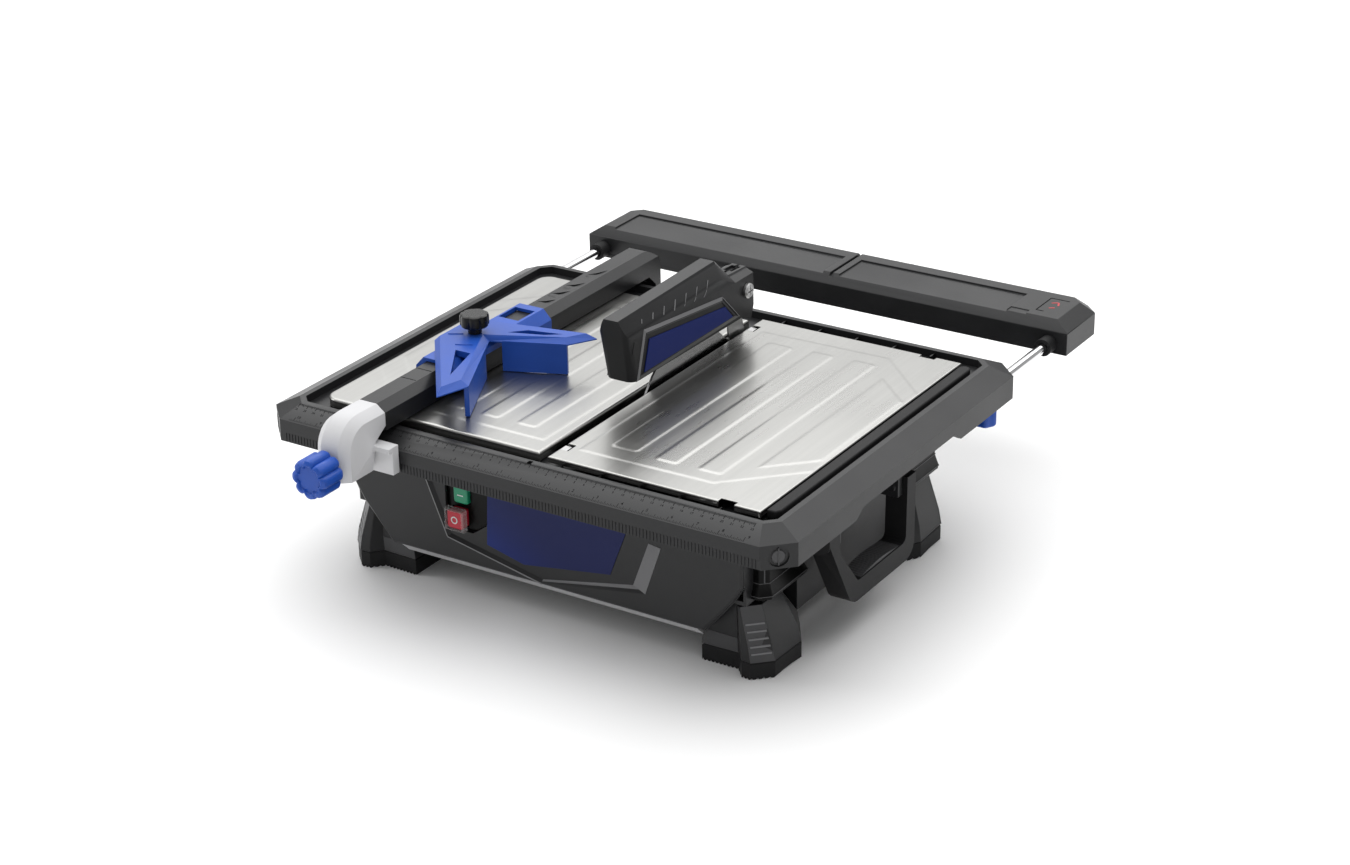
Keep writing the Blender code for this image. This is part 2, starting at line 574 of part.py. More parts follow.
def extension():
    width = TABLE_HALF_WIDTH
    outer = [
        (-width, BAR_FRONT), (width, BAR_FRONT), (width, 611),
        (width - 14, BAR_BACK), (14 - width, BAR_BACK), (-width, 611),
    ]
    crown = [(-266, BAR_FRONT + 9), (266, BAR_FRONT + 9), (266, 606), (256, 616), (-256, 616), (-266, 606)]
    hole = ROD_RADIUS + HOLE_CLEARANCE
    cuts = [slab(-244, 244, BAR_FRONT + 4, BAR_BACK - 5, 130, 161)]
    for side in (-1, 1):
        cuts.append(rod("Y", (side * ROD_X, ROD_Z), hole, BAR_FRONT - 5, ROD_BACK + 1))
    piece("extension_bar", "charcoal_plastic",
          stack("Z", [(142.5, outer), (165.5, outer), (175.5, crown)]), cut=cuts)
    for name, side in (("left", -1), ("right", 1)):
        centre = (side * ROD_X, ROD_Z)
        stop = rod("Y", centre, 7.5, ROD_FRONT + 2, ROD_FRONT + 10)
        piece(f"slide_rod_{name}", "chrome", rod("Y", centre, ROD_RADIUS, ROD_FRONT, ROD_BACK), add=[stop])
        ring(f"rod_collar_{name}", "rubber", "Y", centre, 8.8, hole, 531, BAR_FRONT - GAP)
        ring(f"rod_bush_middle_{name}", "bronze", "Y", centre, 7.7, hole, 299, 321)
        ring(f"rod_bush_rear_{name}", "bronze", "Y", centre, 7.7, hole, 416, 435.5)
        middle = (side * ROD_X, LOCK_Y)
        piece(f"lock_knob_{name}", "blue_plastic", stack("Z", [
            (119.5, lobed(middle, 10.5, 1, 6)), (121.5, lobed(middle, 12, 1.6, 6)),
            (137, lobed(middle, 12, 1.6, 6)), (139, lobed(middle, 9, 0.5, 6)),
            (141.5, circle(middle, 6, 48))]),
            add=[rod("Z", middle, 3, 138, ROD_Z - ROD_RADIUS - GAP, 16)], pivot=(*middle, 130))


# ---- carry handle ----


def carry_handle():
    """The handle that hangs on two pins at the right side and swings outwards."""
    x, z = HANDLE_AXIS
    outline = (
        [(111, z + 8), (111, z)] + arc((164, 62), 20, 205, 265, 4) + arc((252, 60), 18, 275, 345, 4)
        + [(270, z), (270, z + 8), (254, z + 8), (254, z)] + arc((246, 69), 7, 345, 275, 3)
        + arc((166, 69), 7, 265, 205, 3) + [(129.5, z - 14), (129.5, z + 8)]
    )
    lugs = [rod("Y", HANDLE_AXIS, 11, 110.9, 129.1), rod("Y", HANDLE_AXIS, 11, 253.9, 270.1)]
    piece("carry_handle", "charcoal_plastic", prism("X", outline, x - 11, x + 11), add=lugs,
          cut=[rod("Y", HANDLE_AXIS, 4.3, 100, 280)], pivot=(x, 190, z))
    for name, y0, y1, p0, p1 in (("front", 131, 139, 108, 141), ("rear", 244, 252, 242, 273)):
        plate = slab(BODY_HALF_WIDTH + GAP, x + 6.5, y0, y1, 108.5, RIM_BOTTOM - 1)
        piece(f"handle_bracket_{name}", "charcoal_plastic", plate,
              add=[rod("Y", HANDLE_AXIS, 4, p0, p1, 16)])


def main():
    clear_scene()
    saw = bpy.data.objects.new("tile_saw", None)
    saw.location = (0, -(KNOB_FRONT + BAR_BACK) / 2 * MM, 0)
    bpy.context.collection.objects.link(saw)
    rim_frame()
    body_tub()
    feet()
    front_label()
    cable_gland()
    switch()
    left_plate()
    right_table()
    motor()
    blade_set()
    blade_well()
    knife_and_guard()
    rip_fence()
    angle_guide()
    extension()
    carry_handle()


main()
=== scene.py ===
import json
import math
import bmesh
import bpy
import numpy as np
from mathutils import Matrix, Vector


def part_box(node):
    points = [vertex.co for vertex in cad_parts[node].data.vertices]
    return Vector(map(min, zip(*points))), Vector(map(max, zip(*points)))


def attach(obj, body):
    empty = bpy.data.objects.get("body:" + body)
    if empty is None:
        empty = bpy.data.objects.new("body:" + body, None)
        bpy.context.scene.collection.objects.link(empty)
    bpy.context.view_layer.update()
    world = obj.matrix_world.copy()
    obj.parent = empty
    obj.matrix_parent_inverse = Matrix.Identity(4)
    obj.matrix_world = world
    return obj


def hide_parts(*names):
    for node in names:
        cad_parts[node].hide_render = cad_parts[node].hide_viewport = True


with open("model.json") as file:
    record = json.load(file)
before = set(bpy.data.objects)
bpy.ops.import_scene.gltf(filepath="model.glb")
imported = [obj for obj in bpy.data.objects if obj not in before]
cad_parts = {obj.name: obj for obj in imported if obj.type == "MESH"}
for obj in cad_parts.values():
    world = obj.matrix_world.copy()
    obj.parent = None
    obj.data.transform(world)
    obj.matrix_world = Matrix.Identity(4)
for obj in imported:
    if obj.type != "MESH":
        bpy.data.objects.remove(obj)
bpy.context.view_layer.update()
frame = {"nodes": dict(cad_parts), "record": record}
nodes = frame["nodes"]
bodyOf = {node: body for body, names in frame["record"]["behaviour"]["bodies"].items() for node in names}
slotOf = {node: obj.data.materials[0].name.split(".")[0] for node, obj in nodes.items()}
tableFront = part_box("rim_frame")[0][1]  # where y is 0 in the saw's own millimetres
print("frame loaded:", len(nodes), "nodes")

# Angles in degrees, target and distance in metres, lens in millimetres
camera = {
    "azimuth": 32.786, "elevation": 24.486, "roll": -0.991,
    "target": (0.02914, -0.04157, 0.1275), "distance": 2.64924, "lens": 75.297,
}


def addCamera(azimuth, elevation, roll, target, distance, lens):
    a, e, r = math.radians(azimuth), math.radians(elevation), math.radians(roll)
    back = Vector((math.sin(a) * math.cos(e), -math.cos(a) * math.cos(e), math.sin(e)))
    level = Vector((0, 0, 1)).cross(back).normalized()
    upright = back.cross(level)
    right = level * math.cos(r) + upright * math.sin(r)
    up = upright * math.cos(r) - level * math.sin(r)
    data = bpy.data.cameras.new("camera")
    data.lens = lens
    data.sensor_width = 36
    obj = bpy.data.objects.new("camera", data)
    bpy.context.scene.collection.objects.link(obj)
    obj.matrix_world = Matrix([
        [right.x, up.x, back.x, target[0] + back.x * distance],
        [right.y, up.y, back.y, target[1] + back.y * distance],
        [right.z, up.z, back.z, target[2] + back.z * distance],
        [0, 0, 0, 1],
    ])
    bpy.context.scene.camera = obj


# Area lights, in metres and watts
lights = {
    "overhead": {"place": (-0.3, 0.6, 2.4), "aim": (0, 0, 0.1), "size": (4.6, 4.2), "watts": 125},
    "left": {"place": (-2.2, -1.0, 1.0), "aim": (0, 0, 0.1), "size": (0.7, 1.6), "watts": 12},
    "front": {"place": (1.2, -2.6, 1.0), "aim": (0, 0, 0.1), "size": (1.8, 0.7), "watts": 4},
    "right": {"place": (2.4, 0.2, 1.0), "aim": (0, 0, 0.1), "size": (0.8, 1.4), "watts": 1.5},
    "back": {"place": (-1.7, 2.7, 1.5), "aim": (0, 0, 0.15), "size": (3.2, 1.9), "watts": 14},
}


def addLight(name, place, aim, size, watts):
    data = bpy.data.lights.new(name, "AREA")
    data.shape = "RECTANGLE"
    data.size, data.size_y = size
    data.energy = watts
    obj = bpy.data.objects.new(name, data)
    bpy.context.scene.collection.objects.link(obj)
    obj.location = place
    obj.rotation_euler = (Vector(aim) - Vector(place)).to_track_quat("-Z", "Y").to_euler()


def addWorld(strength):
    world = bpy.data.worlds.new("studio")
    world.use_nodes = True
    world.node_tree.nodes["Background"].inputs["Color"].default_value = (1, 1, 1, 1)
    world.node_tree.nodes["Background"].inputs["Strength"].default_value = strength
    bpy.context.scene.world = world


class Wire:
    # One output socket: arithmetic on it adds Math nodes
    def __init__(self, shader, socket):
        self.shader = shader
        self.socket = socket

    def math(self, operation, *values):
        return self.shader.node("ShaderNodeMath", {"operation": operation}, dict(enumerate(values)))

    def __add__(self, other):
        return self.math("ADD", self, other)

    def __radd__(self, other):
        return self.math("ADD", other, self)

    def __sub__(self, other):
        return self.math("SUBTRACT", self, other)

    def __mul__(self, other):
        return self.math("MULTIPLY", self, other)

    def clamped(self, low, high):
        # 0 where this is at low or under, 1 at high or over, smooth between
        inputs = {"Value": self, "From Min": low, "From Max": high}
        return self.shader.node("ShaderNodeMapRange", {"interpolation_type": "SMOOTHSTEP"}, inputs)


class Shader:
    # A material's node tree, with its Principled shader
    def __init__(self, name, roughness, metallic=0.0, **constants):
        self.material = bpy.data.materials.new(name)
        self.material.use_nodes = True
        self.tree = self.material.node_tree
        self.principled = self.tree.nodes["Principled BSDF"]
        self.set("Roughness", roughness)
        self.set("Metallic", metallic)
        for socket, value in constants.items():
            self.set(socket.replace("_", " "), value)

    def link(self, socket, value):
        if isinstance(value, Wire):
            self.tree.links.new(value.socket, socket)
        elif isinstance(value, tuple) and len(value) == 3 and socket.type == "RGBA":
            socket.default_value = (*value, 1)
        else:
            socket.default_value = value

    def set(self, socket, value):
        self.link(self.principled.inputs[socket], value)

    def node(self, kind, settings, inputs, output=0):
        made = self.tree.nodes.new(kind)
        for key, value in settings.items():
            setattr(made, key, value)
        for key, value in inputs.items():
            self.link(made.inputs[key], value)
        return Wire(self, made.outputs[output])

    def place(self, scale=(1, 1, 1), turn=(0, 0, 0)):
        where = self.node("ShaderNodeTexCoord", {}, {}, "Object")
        return self.node("ShaderNodeMapping", {}, {"Vector": where, "Scale": scale, "Rotation": turn})

    def noise(self, scale, detail, stretch=(1, 1, 1)):
        inputs = {"Vector": self.place(stretch), "Scale": scale, "Detail": detail}
        return self.node("ShaderNodeTexNoise", {}, inputs)

    def blend(self, factor, a, b):
        inputs = {"Factor": factor, 6: a, 7: b}  # 6 and 7 are the colour sockets
        return self.node("ShaderNodeMix", {"data_type": "RGBA"}, inputs, output=2)

    def bump(self, height, distance):
        self.set("Normal", self.node("ShaderNodeBump", {}, {"Height": height, "Distance": distance}))


def mouldedPlastic(name, color, roughness, grain, depth, haze, shine=0.3):
    # Spark-eroded grain, with faint paler haze in soft patches
    shader = Shader(name, roughness, Specular_IOR_Level=shine)
    patches = shader.noise(14, 3).clamped(0.35, 0.75)
    specks = shader.noise(grain, 2)
    pale = tuple(min(1.0, c * (1 + haze) + 0.004 * haze) for c in color)
    shader.set("Base Color", shader.blend(patches * 0.6 + specks * 0.4, color, pale))
    shader.set("Roughness", roughness + (specks - 0.5) * 0.12 + (patches - 0.5) * 0.08)
    shader.bump(specks, depth)
    return shader.material


def brushedMetal(name, color, roughness, stretch, streaks=260.0, depth=0.000003, smudge=0.08):
    # Fine lines along one way, with soft smudges in the sheen
    shader = Shader(name, roughness, 1.0)
    lines = shader.noise(streaks, 3, stretch)
    smudges = shader.noise(9, 3).clamped(0.3, 0.8)
    dark = tuple(c * 0.95 for c in color)
    shader.set("Base Color", shader.blend(lines.clamped(0.3, 0.7), dark, color))
    shader.set("Roughness", roughness + (lines - 0.5) * 0.05 + smudges * smudge)
    shader.bump(lines, depth)
    return shader.material


def polishedMetal(name, color, roughness):
    shader = Shader(name, roughness, 1.0)
    marks = shader.noise(120, 4, (1, 0.15, 1))
    shader.set("Base Color", shader.blend(marks.clamped(0.4, 0.7), tuple(c * 0.9 for c in color), color))
    shader.set("Roughness", roughness + marks.clamped(0.45, 0.8) * 0.08)
    return shader.material


def inkedLabel(name, dark, sheenBlue):
    # A printed navy film with a painted sheen: along a slant it fades from a lighter sheen blue to the dark
    # blue
    shader = Shader(name, 0.35, Specular_IOR_Level=0.12)
    slant = shader.node("ShaderNodeSeparateXYZ", {}, {0: shader.place((1, 1, 1), (0, 0.9, 0))})
    sheenFade = (slant + shader.noise(9, 2) * 0.03).clamped(-0.11, 0.09)
    shader.set("Base Color", shader.blend(sheenFade, sheenBlue, dark))
    shader.set("Roughness", shader.noise(60, 2) * 0.1 + 0.3)
    return shader.material


def moulding(name, color, roughness, shine=0.4):
    # Smooth plastic or paint with only a slow waviness
    shader = Shader(name, roughness, Specular_IOR_Level=shine)
    waves = shader.noise(35, 2)
    shader.set("Base Color", shader.blend(waves, tuple(c * 0.8 for c in color), color))
    shader.set("Roughness", roughness + (waves - 0.5) * 0.1)
    shader.bump(waves, 0.0002)
    return shader.material


def clearPlastic(name):
    shader = Shader(name, 0.08, Alpha=0.14, Specular_IOR_Level=0.6)
    haze = shader.noise(80, 2)
    shader.set("Base Color", shader.blend(haze, (0.75, 0.72, 0.72), (0.95, 0.95, 0.95)))
    return shader.material


def paleFloor():
    shader = Shader("pale_floor", 0.9, Specular_IOR_Level=0.1)
    shader.set("Base Color", shader.blend(shader.noise(3, 2), (0.9, 0.9, 0.9), (0.93, 0.93, 0.93)))
    return shader.material


# Each finish is the function that makes it and that function's values
finishes = {
    "charcoal_plastic": (mouldedPlastic, (0.013, 0.0132, 0.014), 0.36, 1100, 0.00005, 0.3),
    "black_plastic": (mouldedPlastic, (0.0035, 0.0035, 0.0038), 0.3, 700, 0.00004, 0.3),
    "blue_plastic": (mouldedPlastic, (0.012, 0.062, 0.33), 0.36, 900, 0.00005, 0.35),
    "white_plastic": (mouldedPlastic, (0.55, 0.55, 0.56), 0.42, 900, 0.00005, 0.06),
    "label_blue": (inkedLabel, (0.016, 0.021, 0.085), (0.022, 0.055, 0.36)),
    "decal_blue": (inkedLabel, (0.01, 0.02, 0.13), (0.012, 0.045, 0.4)),
    "satin_black": (mouldedPlastic, (0.011, 0.011, 0.0115), 0.4, 1100, 0.00005, 0.3, 0.1),
    "band_grey": (mouldedPlastic, (0.05, 0.05, 0.052), 0.42, 1100, 0.00005, 0.2),
    "sill_grey": (mouldedPlastic, (0.42, 0.42, 0.43), 0.5, 900, 0.00005, 0.05),
    "stainless": (brushedMetal, (0.4, 0.399, 0.386), 0.27, (1, 0.03, 1)),
    "chrome": (polishedMetal, (0.8, 0.8, 0.81), 0.06),
    "steel": (brushedMetal, (0.5, 0.5, 0.5), 0.32, (0.1, 1, 1)),
    "blade_steel": (brushedMetal, (0.56, 0.56, 0.57), 0.2, (1, 0.2, 1)),
    "motor_grey": (mouldedPlastic, (0.12, 0.125, 0.13), 0.45, 300, 0.0001, 0.2),
    "bronze": (brushedMetal, (0.45, 0.3, 0.14), 0.35, (1, 1, 0.1)),
    "rubber": (mouldedPlastic, (0.008, 0.008, 0.0085), 0.55, 500, 0.0001, 0.3, 0.2),
    "green_button": (moulding, (0.01, 0.26, 0.13), 0.3),
    "red_button": (moulding, (0.45, 0.012, 0.03), 0.25),
    "mark_white": (moulding, (0.75, 0.75, 0.75), 0.4),
    "mark_grey": (moulding, (0.2, 0.2, 0.205), 0.4, 0.3),
    "mark_dark": (moulding, (0.004, 0.004, 0.004), 0.7, 0.03),
    "mark_red": (moulding, (0.5, 0.02, 0.03), 0.4),
    "pale_charcoal": (mouldedPlastic, (0.15, 0.15, 0.155), 0.45, 1100, 0.00005, 0.2),
    "deep_black": (moulding, (0.002, 0.002, 0.002), 0.3, 0.12),
    "clear": (clearPlastic,),
}
looks = {name: make(name + "_look", *values) for name, (make, *values) in finishes.items()}
looks["floor"] = paleFloor()


def toWorld(points):
    # Saw millimetres (x from the middle, y back from the table's front face, z up) to metres
    return np.asarray(points, float) * 0.001 + (0.0, tableFront, 0.0)


def gridFaces(rows, columns, closeRows=False, closeColumns=False):
    # Quads between each point of a grid and its neighbours, flattened row by row
    rowStarts, columnStarts = np.arange(rows - (not closeRows)), np.arange(columns - (not closeColumns))
    r, c = np.meshgrid(rowStarts, columnStarts, indexing="ij")
    nextR, nextC = (r + 1) % rows, (c + 1) % columns
    corners = [r * columns + c, r * columns + nextC, nextR * columns + nextC, nextR * columns + c]
    return np.stack(corners, axis=-1).reshape(-1, 4).tolist()


def loft(rings):
    # Closed solid through rings of equal length, an array of rings x points x 3
    rings = np.asarray(rings, float)
    rows, columns = rings.shape[:2]
    faces = gridFaces(rows, columns, closeColumns=True)
    faces += [list(range(columns))[::-1], list(range((rows - 1) * columns, rows * columns))]
    return rings.reshape(-1, 3), faces


def onAxis(axis, along, outline):
    # An outline's two coordinates with the place along the axis put in
    return np.insert(np.asarray(outline, float), "XYZ".index(axis), along, axis=1)


def stack(axis, sections):
    # A solid through outlines, each at its place along the axis
    return loft([onAxis(axis, along, outline) for along, outline in sections])


def hoop(axis, sections):
    # Like stack, but the last outline joins the first, so that it has a hole through it
    points = stack(axis, sections)[0]
    return points, gridFaces(len(sections), len(sections[0][1]), closeRows=True, closeColumns=True)


def prism(axis, outline, start, end):
    return stack(axis, [(start, outline), (end, outline)])


def block(low, high):
    (x0, y0, z0), (x1, y1, z1) = low, high
    return prism("Z", [(x0, y0), (x1, y0), (x1, y1), (x0, y1)], z0, z1)


def joined(shapes):
    points, faces, count = [], [], 0
    for shapePoints, shapeFaces in shapes:
        points.append(shapePoints)
        faces += [[i + count for i in face] for face in shapeFaces]
        count += len(shapePoints)
    return np.concatenate(points), faces


def makeObject(name, shape, look):
    points, faces = shape
    mesh = bpy.data.meshes.new(name)
    mesh.from_pydata(toWorld(points).tolist(), [], faces)
    mesh.materials.append(looks[look])
    obj = bpy.data.objects.new(name, mesh)
    bpy.context.scene.collection.objects.link(obj)
    return obj


afterCut = {"merge": 2e-5, "flat": 1.0}  # metres between points made one, degrees between faces joined


def tidyMesh(obj, sharp=16.0, merge=1e-6, flat=None):
    # Doubles merged, flat faces joined where asked, normals outwards, and edges over the angle left sharp
    mesh = bmesh.new()
    mesh.from_mesh(obj.data)
    bmesh.ops.remove_doubles(mesh, verts=mesh.verts, dist=merge)
    if flat:
        bmesh.ops.dissolve_limit(mesh, angle_limit=math.radians(flat), verts=mesh.verts, edges=mesh.edges)
    bmesh.ops.recalc_face_normals(mesh, faces=mesh.faces)
    mesh.to_mesh(obj.data)
    mesh.free()
    obj.data.shade_smooth()
    obj.data.set_sharp_from_angle(angle=math.radians(sharp))


def bevelled(obj, width, segments=2, angle=30.0):
    if width:
        modifier = obj.modifiers.new("edges", "BEVEL")
        modifier.width = width * 0.001
        modifier.segments = segments
        modifier.limit_method = "ANGLE"
        modifier.angle_limit = math.radians(angle)


def addPiece(name, shape, look, body, bevel=0.0, sharp=32.0, replace=()):
    obj = makeObject(name, shape, look)
    tidyMesh(obj, sharp)
    bevelled(obj, bevel)
    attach(obj, body)
    if replace:
        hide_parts(*replace)
    return obj


def carve(obj, cutter):
    # Cuts a closed shape out of the object and keeps the result as its mesh
    tool = makeObject(obj.name + "_tool", cutter, "charcoal_plastic")
    tidyMesh(tool)
    modifier = obj.modifiers.new("carve", "BOOLEAN")
    modifier.object = tool
    modifier.operation = "DIFFERENCE"
    modifier.solver = "EXACT"
    modifier.use_self = True
    bpy.context.view_layer.update()
    carved = bpy.data.meshes.new_from_object(obj.evaluated_get(bpy.context.evaluated_depsgraph_get()))
    obj.modifiers.clear()
    obj.data = carved
    bpy.data.objects.remove(tool)


def refined(node, look=None, bevel=0.6, segments=2, cut=None, sharp=16.0):
    # A copy of the node with soft edges, shown in its place
    obj = bpy.data.objects.new(node + "_skin", nodes[node].data.copy())
    bpy.context.scene.collection.objects.link(obj)
    obj.data.materials.clear()
    obj.data.materials.append(looks[look or slotOf[node]])
    tidyMesh(obj, sharp, **afterCut)
    if cut:
        carve(obj, cut)
        tidyMesh(obj, sharp, **afterCut)
    bevelled(obj, bevel, segments)
    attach(obj, bodyOf[node])
    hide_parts(node)
    return obj


def finishNodes():
    for name, obj in nodes.items():
        obj.data.materials.clear()
        obj.data.materials.append(looks[slotOf[name]])


finishNodes()
addCamera(**camera)
addWorld(0.42)
for lightName, lightSettings in lights.items():
    addLight(lightName, **lightSettings)
floorReach = 6000
floorCorners = np.array([(-1, -1, 0), (1, -1, 0), (1, 1, 0), (-1, 1, 0)]) * floorReach
floor = makeObject("floor", (floorCorners, [[0, 1, 2, 3]]), "floor")
bpy.context.scene.view_settings.view_transform = "Standard"

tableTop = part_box("left_plate")[1][2] * 1000
press = {"step": 1.4, "slope": 3.2, "field": 0.35, "rib": 0.42, "sheet": 1.2}  # both tables, in millimetres


def smoothStep(value):
    # 0 up to 0, 1 from 1, with an even turn between
    value = np.clip(value, 0, 1)
    return value * value * (3 - 2 * value)


def depthInside(x, y, outline):
    # How far each point lies inside the nearest side of a convex outline that runs anticlockwise
    corners = np.asarray(outline, float)
    depth = np.full(np.shape(x), np.inf)
    for (ax, ay), (bx, by) in zip(corners, np.roll(corners, -1, axis=0)):
        across = (bx - ax) * (y - ay) - (by - ay) * (x - ax)
        depth = np.minimum(depth, across / math.hypot(bx - ax, by - ay))
    return depth


def rib(x0, x1, y0, y1, cut):
    return [(x0 + cut, y0), (x1 - cut, y0), (x1, y0 + cut), (x1, y1 - cut),
            (x1 - cut, y1), (x0 + cut, y1), (x0, y1 - cut), (x0, y0 + cut)]


def foldedWay(low, high, radius, lip, extra):
    # Places along one way of a sheet, and how far each has dropped: a lip, a rolled edge, the flat, and back
    turn = np.radians([20, 40, 60, 80, 90])
    even = np.arange(low + radius, high - radius, press["step"])
    flat = np.unique(np.concatenate([even, [high - radius], extra]))
    over, drop = radius * np.sin(turn), radius * (1 - np.cos(turn))
    places = np.concatenate([[low], (low + radius - over)[::-1], flat, high - radius + over, [high]])
    drops = np.concatenate([[lip], drop[::-1], np.zeros(len(flat)), drop, [lip]])
    return places, drops


# Both tables seen from above; each corner is the radius of the two at the left
tables = {
    "left_plate": {
        "x": (-236, 8), "y": (39, 398), "lip": 8.5, "roll": 2.4, "corner": 14,
        "border": [(-2, 61), (-2, 377), (-174, 377), (-236, 315), (-236, 123), (-174, 61)],
        "ribs": [rib(-47, -24, 79, 359, 3), rib(-87, -65, 79, 359, 3), rib(-127, -104, 79, 359, 3),
                 rib(-166, -144, 79, 359, 3), [(-182, 104), (-182, 334), (-229, 287), (-229, 151)]],
        "notches": [],
    },
    "right_plate": {
        "x": (19, 237), "y": (36, 406), "lip": 5.5, "roll": 1.2, "corner": 0,
        "border": [(34, 60), (174, 62), (237.5, 126), (237.5, 320), (174, 382), (34, 379)],
        "ribs": [rib(54, 84, 81, 358, 4), rib(102, 127, 78, 360, 3), rib(146, 172, 79, 361, 3),
                 [(190, 106), (233.5, 149), (233.5, 297), (190, 338)]],
        "notches": [(18, 28, 54, 68), (18, 28, 374, 388), (195, 211, 35, 42), (195, 211, 400, 407)],
    },
}


def steelTable(node, x, y, lip, roll, corner, border, ribs, notches):
    # A height over a grid: the field inside the border and the ribs inside it each rise over a slope
    places = [edge for notch in notches for edge in notch]
    xs, dropX = foldedWay(*x, roll, lip, [p for p in places if x[0] + roll < p < x[1] - roll])
    ys, dropY = foldedWay(*y, roll, lip, [p for p in places if y[0] + roll < p < y[1] - roll])
    gridX, gridY = np.meshgrid(xs, ys, indexing="ij")
    drop = np.maximum(*np.meshgrid(dropX, dropY, indexing="ij"))
    rise = press["field"] * smoothStep(depthInside(gridX, gridY, border) / press["slope"])
    for outline in ribs:
        if depthInside(*np.mean(outline, axis=0), outline) < 0:
            outline = outline[::-1]
        rise = rise + press["rib"] * smoothStep(depthInside(gridX, gridY, outline) / press["slope"])
    height = tableTop - drop + rise * (drop < 0.01)
    if corner:
        # a corner's square is drawn in to a quarter circle
        for end, sign in ((y[0] + corner, -1), (y[1] - corner, 1)):
            fromX, fromY = x[0] + corner - gridX, sign * (gridY - end)
            within = (fromX > 0) & (fromY > 0)
            pull = np.where(within, np.maximum(fromX, fromY) / np.maximum(np.hypot(fromX, fromY), 1e-6), 1)
            gridX = np.where(within, x[0] + corner - fromX * pull, gridX)
            gridY = np.where(within, end + sign * fromY * pull, gridY)
    points = np.stack([gridX, gridY, height], axis=-1).reshape(-1, 3)
    faces = np.array(gridFaces(len(xs), len(ys)))[:, ::-1]
    middles = points[faces].mean(axis=1)
    kept = np.ones(len(faces), bool)
    for x0, x1, y0, y1 in notches:
        kept &= ~((middles[:, 0] > x0) & (middles[:, 0] < x1) & (middles[:, 1] > y0) & (middles[:, 1] < y1))
    obj = makeObject(node + "_skin", (points, faces[kept].tolist()), "stainless")
    obj.data.shade_smooth()
    obj.data.set_sharp_from_angle(angle=math.radians(40))
    wall = obj.modifiers.new("sheet", "SOLIDIFY")
    wall.thickness = press["sheet"] * 0.001
    wall.offset = -1
    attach(obj, bodyOf[node])
    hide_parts(node)


for node, settings in tables.items():
    steelTable(node, **settings)
print("tables pressed")

# Outlines are (y, z), seen from the side, and slashes are (high y, low y, bottom z)
guard = {
    "middle": 13.5, "halfWidth": 16.0, "round": 9.0, "crown": 7.5, "lean": 16.0, "step": 1.4, "stepWide": 1.0,
    "front": 148.2, "crest": 264.5, "kink": 247.1, "rise": 0.0218,
    "side": [(159.6, 202.9), (148.2, 265.9), (313.5, 269.5), (338.4, 246.9),
             (370.9, 245.3), (373.9, 207.4), (368.9, 194.5), (349, 200.9)],
    # half width and outline of each: over the blade low down and high up, for the knife, and at the hinge
    "hollows": [(13, [(167, 190), (157, 247), (327, 247), (332, 240), (340, 238), (340, 190)]),
                (6, [(167, 190), (158, 258), (309, 261), (332, 240), (340, 238), (340, 190)]),
                (1.7, [(338, 190), (338, 252), (388, 252), (388, 190)]),
                (5, [(350, 243.5), (350, 250), (366, 250), (366, 243)])],
    "groove": [(153.5, 216), (154.4, 216), (162.2, 243), (161.3, 243)],
    "panel": [(164.5, 203), (178, 249.5), (313.7, 235), (345.5, 204)],
    "decal": [(176.5, 208.5), (186, 238), (317.5, 223.5), (331.5, 208.5)],
    "slashes": 7, "slashFirst": (180.9, 178.9, 254.9), "slashLast": (293.1, 281.2, 245.7), "slashTop": 258,
}


def guardRing(offset):
    # The side outline at a distance from the middle: the front draws back and the top falls towards the sides
    away = abs(offset)
    leaning = guard["halfWidth"] - guard["crown"] - guard["stepWide"]
    into = max(0.0, away - (guard["halfWidth"] - guard["round"])) / guard["round"]
    back = guard["round"] * (1 - math.sqrt(max(0.0, 1 - into * into)))
    step = guard["step"] * min(1.0, max(0.0, away - guard["crown"]) / guard["stepWide"])
    fall = guard["lean"] * max(0.0, away - guard["crown"] - guard["stepWide"]) / leaning
    lowered = [0, step + fall, step + fall, step + fall * 0.3, step + fall * 0.2, 0, 0, 0]
    drawn = [back, back, 0, 0, 0, -back * 0.25, -back * 0.25, 0]
    outline = np.array(guard["side"]) + np.stack([drawn, -np.array(lowered)], axis=1)
    return onAxis("X", guard["middle"] + offset, outline)


def bladeGuard():
    half, middle = guard["halfWidth"], guard["middle"]
    bulge = half - guard["round"] + guard["round"] * np.sin(np.radians([0, 15, 30, 45, 60, 75, 90]))
    offsets = np.unique(np.concatenate([bulge, -bulge, [-8.5, -7.5, 7.5, 8.5]]))
    obj = makeObject("blade_guard_skin", loft([guardRing(offset) for offset in offsets]), "charcoal_plastic")
    tidyMesh(obj)
    for wide, outline in guard["hollows"]:
        carve(obj, prism("X", outline, middle - wide, middle + wide))
    grooves = []
    for side in (-1, 1):
        start, end = sorted((middle + side * (half - 0.9), middle + side * (half + 3)))
        grooves.append(prism("X", guard["groove"], start, end))
    carve(obj, joined(grooves))
    tidyMesh(obj, 28, afterCut["merge"])
    bevelled(obj, 0.35, 1, 40)
    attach(obj, "guard")
    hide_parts("blade_guard")


def inwardly(outline, distance):
    # A convex outline with every side moved in by the distance
    corners = np.asarray(outline, float)
    before, after = np.roll(corners, 1, axis=0), np.roll(corners, -1, axis=0)
    one = (corners - before) / np.linalg.norm(corners - before, axis=1, keepdims=True)
    two = (after - corners) / np.linalg.norm(after - corners, axis=1, keepdims=True)
    turn = one[:, 0] * two[:, 1] - one[:, 1] * two[:, 0]
    return corners + (two - one) * distance / np.abs(turn)[:, None]


